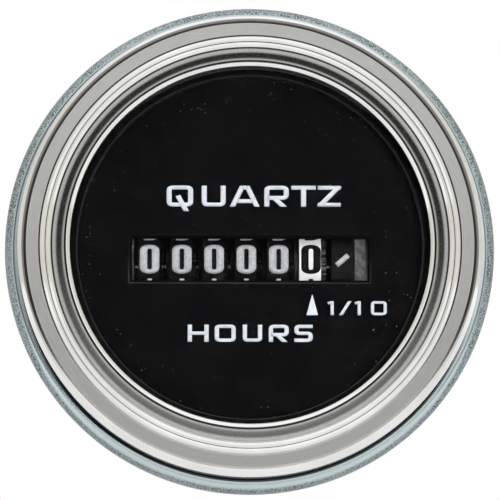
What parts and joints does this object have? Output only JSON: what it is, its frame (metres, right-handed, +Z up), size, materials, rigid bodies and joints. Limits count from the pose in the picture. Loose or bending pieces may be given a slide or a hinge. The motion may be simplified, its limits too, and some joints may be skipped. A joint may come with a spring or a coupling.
{
  "type": "hour meter",
  "caption": "Round panel hour meter: stepped bright bezel, zinc-plated case with a rolled rim, wheel counter behind a window, studs at the back.",
  "frame": {"origin": "on the axis of the round body, in the plane of the panel face that the flange's back lies on", "axes": "+Z is up on the dial, -Y points out of the dial towards the reader, +X is to the reader's right"},
  "size_m": [0.0586, 0.0557, 0.0586],
  "materials": {
    "zinc_steel": "bright zinc plate, finely speckled",
    "bright_chrome": "polished plate",
    "black_rubber": "moulded",
    "clear_glass": "clear, ground edge",
    "black_ring": "moulded satin",
    "dial_black": "flat black paint",
    "carrier_plastic": "moulded",
    "plate_steel": "stamped",
    "block_grey": "moulded, dusty",
    "screw_steel": "bright zinc plate",
    "shaft_steel": "ground",
    "wheel_black": "moulded satin, printed numbers",
    "wheel_white": "moulded satin, printed numbers",
    "gear_brass": "hobbed",
    "terminal_brass": "turned",
    "natural_nylon": "moulded",
    "soft_iron": "stamped, dull",
    "spring_bronze": "rolled strip",
    "enamelled_copper": "enamelled wire",
    "tinned_wire": "tinned",
    "board_green": "lacquered laminate",
    "can_metal": "drawn can",
    "chip_black": "moulded",
    "capacitor_sleeve": "shrunk sleeve",
    "brown_fibre": "pressed fibre"
  },
  "bodies": {
    "housing": {"case_can": "zinc_steel", "mounting_studs": "zinc_steel", "case_gasket": "black_rubber", "bezel": "bright_chrome", "lens_gasket": "black_rubber", "lens": "clear_glass", "spacer_ring": "black_ring", "dial_plate": "dial_black", "carrier": "carrier_plastic", "left_plate": "plate_steel", "right_plate": "plate_steel", "counter_end_block": "block_grey", "frame_posts": "plate_steel", "frame_screws": "screw_steel", "foot_screws": "screw_steel", "carry_shaft": "shaft_steel", "armature_pin": "shaft_steel", "return_spring": "spring_bronze", "coil_core": "soft_iron", "coil_bobbin": "natural_nylon", "coil_winding": "enamelled_copper", "yoke": "soft_iron", "pole_plate": "soft_iron", "coil_leads": "tinned_wire", "circuit_board": "board_green", "board_screws": "screw_steel", "quartz_crystal": "can_metal", "divider_chip": "chip_black", "capacitor": "capacitor_sleeve", "terminal_studs": "terminal_brass", "inner_insulators": "brown_fibre", "outer_insulators": "brown_fibre", "terminal_washers": "screw_steel", "terminal_lock_washers": "screw_steel", "terminal_nuts": "terminal_brass"},
    "run_train": {"run_shaft": "shaft_steel", "run_indicator_wheel": "wheel_black", "star_wheel": "gear_brass"},
    "reduction_train": {"reduction_arbor": "shaft_steel", "reduction_wheel": "gear_brass"},
    "armature": {"armature": "soft_iron"},
    "tenths": {"tenths_wheel": "wheel_white"},
    "units": {"units_wheel": "wheel_black"},
    "tens": {"tens_wheel": "wheel_black"},
    "hundreds": {"hundreds_wheel": "wheel_black"},
    "thousands": {"thousands_wheel": "wheel_black"},
    "ten_thousands": {"ten_thousands_wheel": "wheel_black"},
    "carry_pinion_5": {"carry_pinion_5": "natural_nylon"},
    "carry_pinion_4": {"carry_pinion_4": "natural_nylon"},
    "carry_pinion_3": {"carry_pinion_3": "natural_nylon"},
    "carry_pinion_2": {"carry_pinion_2": "natural_nylon"},
    "carry_pinion_1": {"carry_pinion_1": "natural_nylon"}
  },
  "joints": [
    {"name": "reduction_turn", "type": "hinge", "parent": "housing", "child": "reduction_train", "pos_m": [0, 0.0089, 0.00528], "axis": [1, 0, 0], "continuous": true},
    {"name": "run_turn", "type": "hinge", "parent": "housing", "child": "run_train", "pos_m": [0, 0.0051, -0.0013], "axis": [-1, 0, 0], "continuous": true},
    {"name": "tenths_turn", "type": "hinge", "parent": "housing", "child": "tenths", "pos_m": [0, 0.0051, -0.0013], "axis": [-1, 0, 0], "continuous": true},
    {"name": "units_turn", "type": "hinge", "parent": "housing", "child": "units", "pos_m": [0, 0.0051, -0.0013], "axis": [-1, 0, 0], "continuous": true},
    {"name": "tens_turn", "type": "hinge", "parent": "housing", "child": "tens", "pos_m": [0, 0.0051, -0.0013], "axis": [-1, 0, 0], "continuous": true},
    {"name": "hundreds_turn", "type": "hinge", "parent": "housing", "child": "hundreds", "pos_m": [0, 0.0051, -0.0013], "axis": [-1, 0, 0], "continuous": true},
    {"name": "thousands_turn", "type": "hinge", "parent": "housing", "child": "thousands", "pos_m": [0, 0.0051, -0.0013], "axis": [-1, 0, 0], "continuous": true},
    {"name": "ten_thousands_turn", "type": "hinge", "parent": "housing", "child": "ten_thousands", "pos_m": [0, 0.0051, -0.0013], "axis": [-1, 0, 0], "continuous": true},
    {"name": "carry_5_turn", "type": "hinge", "parent": "housing", "child": "carry_pinion_5", "pos_m": [0, 0.0124, -0.0013], "axis": [1, 0, 0], "continuous": true},
    {"name": "carry_4_turn", "type": "hinge", "parent": "housing", "child": "carry_pinion_4", "pos_m": [0, 0.0124, -0.0013], "axis": [1, 0, 0], "continuous": true},
    {"name": "carry_3_turn", "type": "hinge", "parent": "housing", "child": "carry_pinion_3", "pos_m": [0, 0.0124, -0.0013], "axis": [1, 0, 0], "continuous": true},
    {"name": "carry_2_turn", "type": "hinge", "parent": "housing", "child": "carry_pinion_2", "pos_m": [0, 0.0124, -0.0013], "axis": [1, 0, 0], "continuous": true},
    {"name": "carry_1_turn", "type": "hinge", "parent": "housing", "child": "carry_pinion_1", "pos_m": [0, 0.0124, -0.0013], "axis": [1, 0, 0], "continuous": true},
    {"name": "armature_rock", "type": "hinge", "parent": "housing", "child": "armature", "pos_m": [0, 0.0051, -0.0093], "axis": [1, 0, 0], "range_deg": [-6, 6], "stiffness_Nm_per_rad": 0.00005}
  ],
  "couplings": [
    {"joint": "run_turn", "follows": "reduction_turn", "ratio": 5},
    {"joint": "tenths_turn", "follows": "reduction_turn", "ratio": 0.25},
    {"joint": "units_turn", "follows": "reduction_turn", "ratio": 0.025},
    {"joint": "tens_turn", "follows": "reduction_turn", "ratio": 0.0025},
    {"joint": "hundreds_turn", "follows": "reduction_turn", "ratio": 0.00025},
    {"joint": "thousands_turn", "follows": "reduction_turn", "ratio": 0.000025},
    {"joint": "ten_thousands_turn", "follows": "reduction_turn", "ratio": 0.0000025},
    {"joint": "carry_5_turn", "follows": "reduction_turn", "ratio": 0.0625},
    {"joint": "carry_4_turn", "follows": "reduction_turn", "ratio": 0.00625},
    {"joint": "carry_3_turn", "follows": "reduction_turn", "ratio": 0.000625},
    {"joint": "carry_2_turn", "follows": "reduction_turn", "ratio": 0.0000625},
    {"joint": "carry_1_turn", "follows": "reduction_turn", "ratio": 0.00000625}
  ]
}
